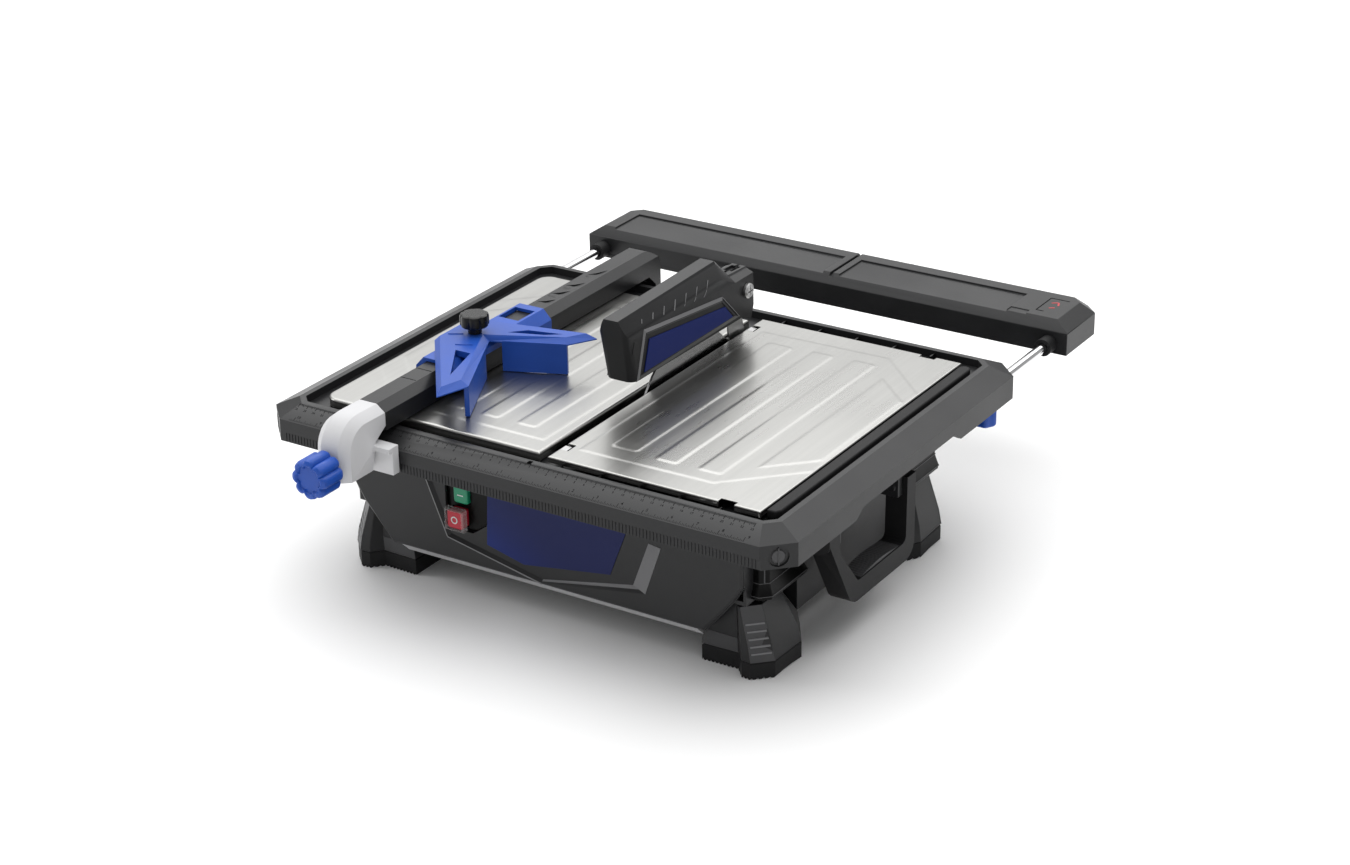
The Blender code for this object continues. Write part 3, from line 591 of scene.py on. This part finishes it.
def guardSides():
    # On each side a raised panel, its bevel on three edges painted pale as a highlight, and a blue film in it
    panel, decal = guard["panel"], guard["decal"]
    inner = inwardly(panel, 3.2)
    for side, name in ((-1, "left"), (1, "right")):
        face = guard["middle"] + side * guard["halfWidth"]
        raised = [(face + side * out, inwardly(panel, inset))
                  for out, inset in ((-0.8, 0), (0, 0), (1.2, 4.2), (0.9, 4.9), (-0.5, 5.0))]
        addPiece(f"guard_panel_{name}", stack("X", raised), "charcoal_plastic", "guard", sharp=12)
        # pale strips on the panel's bevel along three edges: painted highlights
        highlightBorders = []
        for i, j, share in ((0, 1, 0.8), (1, 2, 1.0), (2, 3, 0.35)):
            start = np.array(panel[i]) * (1 - share) + inner[i] * share
            end = np.array(panel[j]) * (1 - share) + inner[j] * share
            corners = [panel[i], panel[j], end, start]
            points, faces = stack("X", [(face - side * 0.2, corners), (face + side * 0.35, corners)])
            points[:, 0] += side * 0.9 * (np.arange(len(points)) % 4 > 1)  # the inner edge follows the slope
            highlightBorders.append((points, faces))
        addPiece(f"guard_edge_{name}", joined(highlightBorders), "pale_charcoal", "guard",
                 sharp=12)
        film = [(face + side * out, inwardly(decal, inset))
                for out, inset in ((0.3, 0), (1.05, 0), (1.15, 0.3))]
        addPiece(f"guard_decal_{name}", stack("X", film), "decal_blue", "guard", sharp=12)


def alongGuard(height, y):
    # How high a line on the guard is at y, when it starts at a height and rises slowly to the back
    return height + (y - guard["front"]) * guard["rise"]


def leaningFace(y, z):
    # How far the leaning side is from the guard's middle, up to the upright side
    edge = guard["crown"] + guard["stepWide"]
    down = alongGuard(guard["crest"], y) - z
    return min(guard["halfWidth"], edge + (guard["halfWidth"] - edge) * down / guard["lean"])


def guardSlashes():
    # Thin pale bars, painted highlights of the slashes, on both leaning sides: tops level, each longer than
    # the last
    middle, top = guard["middle"], guard["slashTop"]
    section = ((-0.5, -0.5), (0.5, -0.35), (0.5, 0.35), (-0.5, 0.5))
    bars = []
    for side in (-1, 1):
        for high, low, bottom in np.linspace(guard["slashFirst"], guard["slashLast"], guard["slashes"]):
            kink = alongGuard(guard["kink"], low)
            places = [(bottom, low), (top, high)]
            if kink > bottom:
                places.insert(1, (kink, low + (high - low) * (kink - bottom) / (top - bottom)))
            bars.append(loft([
                [(middle + side * (leaningFace(y, z) + out), y + shift, z) for out, shift in section]
                for z, y in places]))
    addPiece("guard_slash_highlights", joined(bars), "mark_grey", "guard")


bladeGuard()
guardSides()
guardSlashes()
print("guard made")


def circle(centre, radius, count=48):
    turn = np.linspace(0, 2 * np.pi, count, endpoint=False)
    return np.stack([centre[0] + radius * np.cos(turn), centre[1] + radius * np.sin(turn)], axis=1)


def lobed(centre, radius, depth, lobes, count=192):
    # Round lobes with narrow valleys between them: the radius falls by the depth where |cos| of half the turn
    # times the lobes reaches 0
    turn = np.linspace(0, 2 * np.pi, count, endpoint=False)
    reach = radius - depth * (1 - np.abs(np.cos(turn * lobes / 2))) ** 1.6
    return np.stack([centre[0] + reach * np.cos(turn), centre[1] + reach * np.sin(turn)], axis=1)


def spun(shape, centre, degrees):
    # A shape turned about the upright line through a point
    points, faces = shape
    c, s = math.cos(math.radians(degrees)), math.sin(math.radians(degrees))
    x, y = points[:, 0] - centre[0], points[:, 1] - centre[1]
    return np.stack([centre[0] + c * x - s * y, centre[1] + s * x + c * y, points[:, 2]], axis=1), faces


def flipped(shape):
    return shape[0] * (-1, 1, 1), shape[1]


def strip(start, end, width, low, high):
    # A straight bar seen from above, between two heights
    start, end = np.array(start, float), np.array(end, float)
    side = np.array([end[1] - start[1], start[0] - end[0]]) * width / 2 / math.dist(start, end)
    return prism("Z", [start - side, end - side, end + side, start + side], low, high)


# Outlines are (x, z), seen from the front, and the other values but edge are y
front = {
    "skin": [(-171, 40), (171, 40), (202, 76.8), (211.6, 92.6), (211.6, 142),
             (-211.6, 142), (-211.6, 92.6), (-202, 76.8)],
    "back": 50.1, "face": 46.9, "floor": 49.75, "edge": 2.0,
    "field": [(-134.5, 143), (-102.8, 65.2), (-1, 44.3), (97.1, 64.6), (126.8, 143)],
    "rim": [(-137.2, 143), (-105.3, 62.6), (-1.2, 41.4), (111.6, 60.4), (141.6, 143)],
    "switch": [(-108, 124), (-108, 76), (-104, 71), (-78, 71), (-60, 84), (-60, 124)],
}


def bodyFront(skin, back, face, floor, edge, field, rim, switch):
    # A raised skin with a sunk field for the label: the field's slopes widen towards the right
    shape = stack("Y", [(back, skin), (face + edge * 0.6, skin), (face, inwardly(skin, edge))])
    obj = addPiece("body_front", shape, "charcoal_plastic", "base")
    carve(obj, stack("Y", [(face - 3, rim), (face - 0.01, rim), (floor, field)]))
    carve(obj, prism("Y", switch, 40, 60))
    tidyMesh(obj, 16, **afterCut)
    bevelled(obj, 0.35, 1, 20)


def onFace(proud, corners):
    # A thin plate on the front: its corners are (x, z, y), and its face stands proud of them
    back = [(x, y + 0.3, z) for x, z, y in corners]
    return loft([back, [(x, y - proud, z) for x, z, y in corners]])


def frontTrim(face, floor, field, rim):
    # Slopes at the right and bottom of the label's field painted paler where they face the light, and painted
    # highlight lines at its lower left
    litFacets = [
        onFace(0.25, [(*field[3], floor), (114.2, 110, floor), (128.9, 110, face), (*rim[3], face)]),
        onFace(0.25, [(*field[2], floor), (*field[3], floor), (104, 62.6, 48.4), (-1.1, 42.9, 48.4)]),
    ]
    addPiece("front_lit_facets", joined(litFacets), "pale_charcoal", "base")
    (leftX, leftZ), (lowX, lowZ) = rim[1:3]
    edges = [
        onFace(0.12, [(leftX, leftZ, face), (lowX, lowZ, face), (lowX, lowZ - 1.3, face),
                      (leftX - 1, leftZ - 0.9, face)]),
        onFace(0.12, [(-128.6, 120, face), (leftX, leftZ, face), (leftX - 1.2, leftZ - 0.2, face),
                      (-129.8, 120, face)]),
    ]
    addPiece("front_edge_highlights", joined(edges), "mark_grey", "base")


bodyFront(**front)
frontTrim(front["face"], front["floor"], front["field"], front["rim"])
# A thin strip on the bevel under the body's front, painted pale grey as the reflection of the white floor
sillReflection = prism("X", [(48.9, 40.2), (60.6, 28.5), (61.2, 29.1), (49.5, 40.8)], -163, 163)
addPiece("front_sill_reflection", sillReflection, "sill_grey", "base")
refined("front_label", "label_blue", 0.15)
refined("start_button", "green_button", 1.0)
refined("stop_button", "red_button", 1.2)
startBar = strip((-94.2, 49.9), (-87.8, 49.9), 0.5, 105.8, 106.9)
addPiece("start_mark", startBar, "mark_white", "start_button")
stopRings = [(y, circle((-94.5, 83), radius))
             for y, radius in ((43.85, 3.6), (43.6, 3.6), (43.6, 2.6), (43.85, 2.6))]
addPiece("stop_mark", hoop("Y", stopRings), "mark_white", "stop_button")
coverOutline = [(-105.2, 72), (-83.8, 72), (-83.8, 94), (-105.2, 94)]
coverRings = [(y, inwardly(coverOutline, inset))
              for y, inset in ((48.8, 0), (43.4, 0), (42.0, 1.2), (42.0, 1.7), (43.4, 1.5), (48.8, 1.5))]
addPiece("stop_cover", hoop("Y", coverRings), "clear", "base", sharp=12)
print("body front made")

# The front right foot from above at three heights, and its neck with (z, inset) steps
foot = {
    "base": [(159, 64.5), (196, 65.5), (206, 54.5), (215.5, 53.8),
             (231.5, 69.5), (233, 113), (217, 138), (159, 138)],
    "knee": [(161, 65), (196, 64.5), (204, 55), (213, 54.2),
             (228.5, 69.5), (230, 111), (215, 136), (161, 136)],
    "top": [(191, 66), (195, 66), (199, 59), (203, 57), (217, 71), (217, 104), (207, 112), (191, 112)],
    "heights": (17, 32, 68), "bars": 5, "barLow": 25, "barHigh": 52, "barTall": 2.2, "barProud": 1.0,
    "tooth": 4.0, "toothTall": 2.6,
}
footMiddle = 226  # the y that the front and the rear feet mirror about
neck = {
    "outline": [(190, 66), (218, 66), (224, 72), (224, 128), (190, 128)],
    "steps": [(68.4, 7), (74.4, 6), (75.4, -3.6), (79.4, -4.2), (90, -0.7), (141.8, -0.6)],
}


def atCorner(shape, right, forward):
    # The front right corner's shape, mirrored to the left or to the rear where asked
    points = np.array(shape[0], float)
    if not right:
        points = points * (-1, 1, 1)
    if not forward:
        points[:, 1] = 2 * footMiddle - points[:, 1]
    return points, shape[1]


def footBar(levels, heights, z, tall, proud):
    # A bar across the cut-off corner, between its corners 3 and 4, leaning as the corner does
    section = ((-tall / 2, -0.6), (-tall / 2 + 0.3, proud), (tall / 2 - 0.5, proud), (tall / 2, -0.6))
    diagonal = 0.7071  # the corner faces outwards at 45 degrees
    rings = []
    for share in (0.08, 0.92):
        ring = []
        for dz, out in section:
            one, two = [np.array([np.interp(z + dz, heights, levels[:, index, way]) for way in (0, 1)])
                        for index in (3, 4)]
            x, y = one * (1 - share) + two * share
            ring.append((x + out * diagonal, y - out * diagonal, z + dz))
        rings.append(ring)
    return loft(rings)


def footShapes(base, knee, top, heights, bars, barLow, barHigh, barTall, barProud, tooth, toothTall):
    levels = np.array([base, knee, top], float)
    centre = levels[0].mean(axis=0)
    groove = centre + (levels[0] - centre) * 0.975
    upper = stack("Z", [(16.2, groove), *zip(heights, levels)])
    sole = stack("Z", [(0, levels[0]), (15, levels[0]), (16, groove)])
    ribs = [footBar(levels, heights, z, barTall, barProud) for z in np.linspace(barLow, barHigh, bars)]
    comb = [prism("Y", [(x - tooth * 0.42, -1), (x + tooth * 0.42, -1), (x, toothTall)], 40, 150)
            for x in np.arange(160, 234, tooth)]
    plates = []
    for first, second, count, push in ((3, 4, 3, (0.5, -0.5, 0)), (0, 1, 2, (0, -0.35, 0))):
        rows = list(zip(heights, levels))[:count]
        up = [(*ring[first], z) for z, ring in rows]
        down = [(*ring[second], z) for z, ring in rows[::-1]]
        flat = np.array(up + down)
        plates.append(loft([flat - push, flat + push]))
    return upper, sole, joined(ribs), joined(comb), joined(plates)


upperShape, soleShape, ribShape, combShape, plateShape = footShapes(**foot)
# Thin lines round the neck's step edges and down its corner, painted lighter grey as highlights on the glossy
# black
neckHighlights = [stack("Z", [(z, inwardly(neck["outline"], -out)), (z + 0.7, inwardly(neck["outline"], -out))])
             for z, out in ((90.2, 1.1), (78.6, 4.5))]
neckHighlights.append(prism("Z", circle((221.2, 68.8), 0.8, 12), 91, 141.5))
neckShape = stack("Z", [(z, inwardly(neck["outline"], inset)) for z, inset in neck["steps"]])
for forward in (True, False):
    for right in (False, True):
        place = ("front_" if forward else "rear_") + ("right" if right else "left")
        addPiece(f"foot_{place}_skin", atCorner(upperShape, right, forward), "charcoal_plastic", "base",
                 bevel=0.9, sharp=20, replace=(f"foot_{place}",))
        sole = addPiece(f"foot_sole_{place}", atCorner(soleShape, right, forward), "rubber", "base", sharp=20)
        carve(sole, atCorner(combShape, right, forward))
        tidyMesh(sole, 20, **afterCut)
        addPiece(f"foot_bars_{place}", atCorner(ribShape, right, forward), "pale_charcoal", "base",
                 sharp=20)
        addPiece(f"foot_plates_{place}", atCorner(plateShape, right, forward), "band_grey", "base",
                 sharp=20)
        addPiece(f"neck_{place}", atCorner(neckShape, right, forward), "deep_black", "base",
                 bevel=0.8, sharp=20)
        addPiece(f"neck_lines_{place}", atCorner(joined(neckHighlights), right, forward), "band_grey", "base",
                 sharp=20)
print("feet made")

# The rim slopes down from a ridge to the front, and the ruler on it counts both ways from the blade
ridge = {"y": 21.5, "z": 175.0, "run": 21.5, "fall": 10.0}
ruler = {
    "zero": 12.0, "left": 260, "right": 230, "inch": 25.4, "first": 0.9, "last": 22.6,
    "inchTicks": ((16, 5.0), (8, 3.8), (4, 3.0), (2, 2.3), (1, 1.6)),  # every so many sixteenths, how long
}


def onSlope(x, down, out):
    # A place on the sloping front of the rim: x, the way down from the ridge and the height above the slope
    length = math.hypot(ridge["run"], ridge["fall"])
    dy, dz = ridge["run"] / length, ridge["fall"] / length
    x, down, out = np.broadcast_arrays(x, down, out)
    return np.stack([x, ridge["y"] - down * dy - out * dz, ridge["z"] - down * dz + out * dy], axis=-1)


def tick(x, start, end, width):
    corners = [(-1, start), (1, start), (1, end), (-1, end)]
    return loft([[onSlope(x + side * width / 2, down, out) for side, down in corners]
                 for out in (-0.2, 0.06)])


def numeral(text, x, down, size):
    curve = bpy.data.curves.new("numeral", "FONT")
    curve.body = text
    curve.size = size
    curve.align_x = "CENTER"
    curve.align_y = "CENTER"
    curve.extrude = 0.13
    curve.resolution_u = 2
    obj = bpy.data.objects.new("numeral", curve)
    mesh = bpy.data.meshes.new_from_object(obj)
    local = np.empty(len(mesh.vertices) * 3)
    mesh.vertices.foreach_get("co", local)
    local = local.reshape(-1, 3)
    faces = [list(face.vertices) for face in mesh.polygons]
    bpy.data.objects.remove(obj)
    bpy.data.meshes.remove(mesh)
    return onSlope(x + local[:, 0], down - local[:, 1], local[:, 2] - 0.07), faces


def rulerMarks(zero, left, right, inch, first, last, inchTicks):
    # Millimetres and centimetres along the ridge, sixteenths and inches along the lower edge
    # the marks are moulded in the rim's own plastic, and are painted near-black as the shade in their grooves
    marks, numbers = [], []
    for mm in range(-left, right + 1):
        length = 4.4 if mm % 10 == 0 else 3.3 if mm % 5 == 0 else 2.1
        marks.append(tick(zero + mm, first, first + length, 0.4 if mm % 10 else 0.55))
    for sixteenth in range(-int(left / inch * 16), int(right / inch * 16) + 1):
        length = next(size for step, size in inchTicks if sixteenth % step == 0)
        x = zero + sixteenth * inch / 16
        marks.append(tick(x, last, last - length, 0.34 if sixteenth % 16 else 0.45))
    for cm in range(-left // 10, right // 10 + 1):
        if cm:
            numbers.append(numeral(str(abs(cm)), zero + cm * 10, first + 7.2, 3.4))
    for n in range(-int(left / inch), int(right / inch) + 1):
        if n:
            numbers.append(numeral(str(abs(n)), zero + n * inch + 3.2, last - 5.6, 4.4))
    addPiece("ruler_ticks", joined(marks), "mark_dark", "base")
    addPiece("ruler_numerals", joined(numbers), "mark_dark", "base")


rulerMarks(**ruler)
boss = {"middle": (269, 12), "z": 153.6, "radius": 9.3, "depth": 1.9}


def cornerBoss(middle, z, radius, depth):
    # A round recess across the rim's front right corner, and the bar and the ring in it
    x, y = middle
    cut = prism("Y", circle((x, z), radius, 40), y - 2, y + depth)
    bar = block((x - 0.5, y - 0.1, z - 8), (x + 0.7, y + 2.4, z + 8))
    ring = stack("Y", [(y + 1.9, circle((x, z), 6.4)), (y + 0.5, circle((x, z), 5.6))])
    return [spun(shape, middle, 45) for shape in (cut, bar, ring)]


bossCut, bossBar, bossRing = cornerBoss(**boss)
lowerBand = block((-262, -3, 141), (262, 1.3, 152.4))
notch = block((7, 20, 170.5), (11.6, 25, 176))
refined("rim_frame", "charcoal_plastic", 0.7, cut=joined([lowerBand, notch, bossCut, flipped(bossCut)]))
addPiece("corner_bosses", joined([bossBar, flipped(bossBar), bossRing, flipped(bossRing)]), "band_grey",
         "base", bevel=0.2)
bandRibs = [block((x, 0.75, 143.2), (x + 0.9, 1.6, 151.8)) for x in np.arange(-252, 253, 3.5)]
addPiece("band_ribs", joined(bandRibs), "charcoal_plastic", "base")
wellRibs = [block((x, near, 166), (x + 1.7, far, 172.6))
            for near, far in ((26.5, 36), (415.5, 425.5)) for x in (34, 75, 116, 157, 198)]
addPiece("well_ribs", joined(wellRibs), "black_plastic", "base", bevel=0.2)
screwHead = ((167, 3.1), (168.8, 3.1), (169.6, 2.2))  # z and radius
screws = [stack("Z", [(z, circle((x, 31.5), radius, 24)) for z, radius in screwHead]) for x in (176, 189)]
addPiece("well_screws", joined(screws), "steel", "base")
print("rim made")


def roundKnob(node, look, axis, centre, depth, lobes, profile):
    # The profile gives places along the axis, each with its radius and its share of the lobes' depth
    sections = [(along, lobed(centre, radius, depth * share, lobes)) for along, radius, share in profile]
    addPiece(node + "_skin", stack(axis, sections), look, bodyOf[node], sharp=35,
             replace=(node,))


headTop = 213.8
headLines = [strip(start, end, 1.1, headTop - 0.4, headTop + 0.7)
             for start, end in (((-171.8, 149.4), (-159.3, 156.7)), ((-150.5, 131.6), (-135.5, 139.2)))]
refined("guide_head", "blue_plastic", 0.5)
addPiece("guide_lines", joined(headLines), "blue_plastic", "guide_head", bevel=0.2)
refined("guide_saddle", "blue_plastic", 0.9)
roundKnob("guide_knob", "black_plastic", "Z", (-152, 165), 1.5, 7, [
    (214.1, 6.6, 0), (220.4, 6.6, 0), (221, 12.4, 0.6), (222.6, 14, 1),
    (230.4, 14, 1), (232.6, 13.3, 0.9), (233.4, 11.8, 0.6), (233.5, 9, 0)])
screwAxis = (-154.5, 161.5)  # x and z of the fence's clamp screw
roundKnob("fence_knob", "blue_plastic", "Y", screwAxis, 3.6, 8, [
    (-56.8, 15.4, 0.8), (-58.2, 18, 1), (-60.5, 19.4, 1), (-81.5, 19.4, 1), (-84.4, 18.4, 1),
    (-85.8, 16.4, 0.9), (-85.9, 14.6, 0.7), (-84.8, 13.2, 0.6), (-83.6, 12.6, 0.5)])


beam = {
    "top": 203.5, "left": -173, "right": -136, "lines": (64, 88), "bend": 18.5, "bendMiddle": (444, 185),
    "slots": [((-161, 281), (-148.5, 293)), ((-162, 305), (-149, 319)),
              ((-161, 330), (-148.5, 344)), ((-158.5, 365), (-148, 384))],
}


def beamCuts(top, left, right, lines, bend, bendMiddle, slots):
    # Slanting slots and two fine lines across the top, the rounded rear end and the chamfers beside it
    cuts = []
    for (x0, y0), (x1, y1) in slots:
        rings = []
        for x, y, depth in ((x0, y0, 0.2), ((x0 + x1) / 2, (y0 + y1) / 2 - 2, 1.3), (x1, y1, 0.2)):
            rings.append([(x, y, top + 1), (x + 1.5, y - 9, top + 1),
                          (x + 1.5, y - 9, top - 0.01), (x, y, top - depth)])
        cuts.append(loft(rings))
    for y in lines:
        cuts.append(block((-166, y, top - 0.7), (-146, y + 1.1, top + 1)))
    y, z = bendMiddle
    turn = np.radians(np.linspace(90, 0, 10))
    outer = np.stack([y + bend * np.cos(turn), z + bend * np.sin(turn)], axis=1).tolist()
    cuts.append(prism("X", outer + [(470, z), (470, 210), (y, 210)], left - 2, right + 2))
    for edge, way in ((right, 1), (left, -1)):
        chamfer = [(edge - way * 9.2, top + 0.2), (edge + way * 0.3, top + 0.2), (edge + way * 0.3, 196.2)]
        cuts.append(prism("Y", chamfer, 435.5, 470))
    return joined(cuts)


refined("fence_beam", "charcoal_plastic", 0.7, cut=beamCuts(**beam))
clamp = refined("fence_clamp", "white_plastic", 0.8, 3)
carve(clamp, prism("Y", circle(screwAxis, 7.05), -13.05, 0.5))
tidyMesh(clamp, 32, afterCut["merge"])
print("fence made")

barTop = 175.5
barCuts = [block((-252, 530, barTop - 2.2), (3, 601, 182)), block((22, 530, barTop - 2.2), (211, 601, 182)),
           block((11.2, 530, barTop - 4), (14.4, 640, 182)), block((212, 530, barTop - 1.2), (232, 563, 182))]
refined("extension_bar", "charcoal_plastic", 0.8, cut=joined(barCuts))


def barMark(name, look, width, proud, ends):
    # Thin strips lying on the bar's top
    strips = [strip(start, end, width, barTop - 0.3, barTop + proud) for start, end in ends]
    addPiece(name, joined(strips), look, "extension")


barMark("bar_mark_frame", "mark_dark", 1.2, 0.12, [
    ((237, 567), (237, 602)), ((237, 602), (257, 602)), ((237, 567), (245, 567))])
barMark("bar_mark", "mark_red", 1.8, 0.14, [
    ((243, 590), (249, 594)), ((249, 594), (252, 586)), ((246, 577), (251, 580))])
grip = {
    "front": 168, "rear": 244, "base": 60, "low": 61.6, "hump": 3.6, "wave": 0.45, "pitch": 3.4,
    "sides": (241.2, 260.8),
}


def gripRibs(front, rear, base, low, hump, wave, pitch, sides):
    # On the inside of the grip: half a sine for a low hump, and the upper halves of a short sine for ribs
    y = np.linspace(front, rear, 6 * (rear - front) + 1)
    along = (y - front) / (rear - front)
    z = low + hump * np.sin(np.pi * along) + wave * np.maximum(0, np.sin(y * 2 * np.pi / pitch))
    outline = np.stack([np.concatenate([y, [rear, front]]), np.concatenate([z, [base, base]])], axis=1)
    return prism("X", outline, *sides)


refined("carry_handle", "satin_black", 1.4, 3)
addPiece("grip_ribs", gripRibs(**grip), "band_grey", "handle", sharp=40)
print("bar and handle made")

boltY, boltZ = 358.6, 226.2
cross = [block((32.4, boltY - dy, boltZ - dz), (40, boltY + dy, boltZ + dz))
         for dy, dz in ((4.6, 0.9), (0.9, 4.6))]
refined("guard_bolt", "steel", 0.3, cut=joined(cross), sharp=40)
refined("switch_housing", "deep_black", 0.8)
refined("table_side_rail", "satin_black", 1.5, 3)
for node in ("body_tub", "handle_bracket_front", "handle_bracket_rear"):
    refined(node, bevel=0.8)
refined("clamp_pad", bevel=1.0, sharp=32)
for node in ("slide_rod_left", "slide_rod_right", "rod_collar_left", "rod_collar_right", "lock_knob_left",
             "lock_knob_right", "guard_nut", "riving_knife", "knife_arm", "clamp_screw", "guide_stud",
             "arbor_nut", "arbor_shaft", "inner_flange", "outer_flange", "motor_can", "motor_end_bell",
             "motor_fan", "motor_bracket", "cable_gland", "tilt_hinge_front", "tilt_hinge_rear",
             "water_tray"):
    refined(node, bevel=0.3, sharp=32)
print("nodes refined")
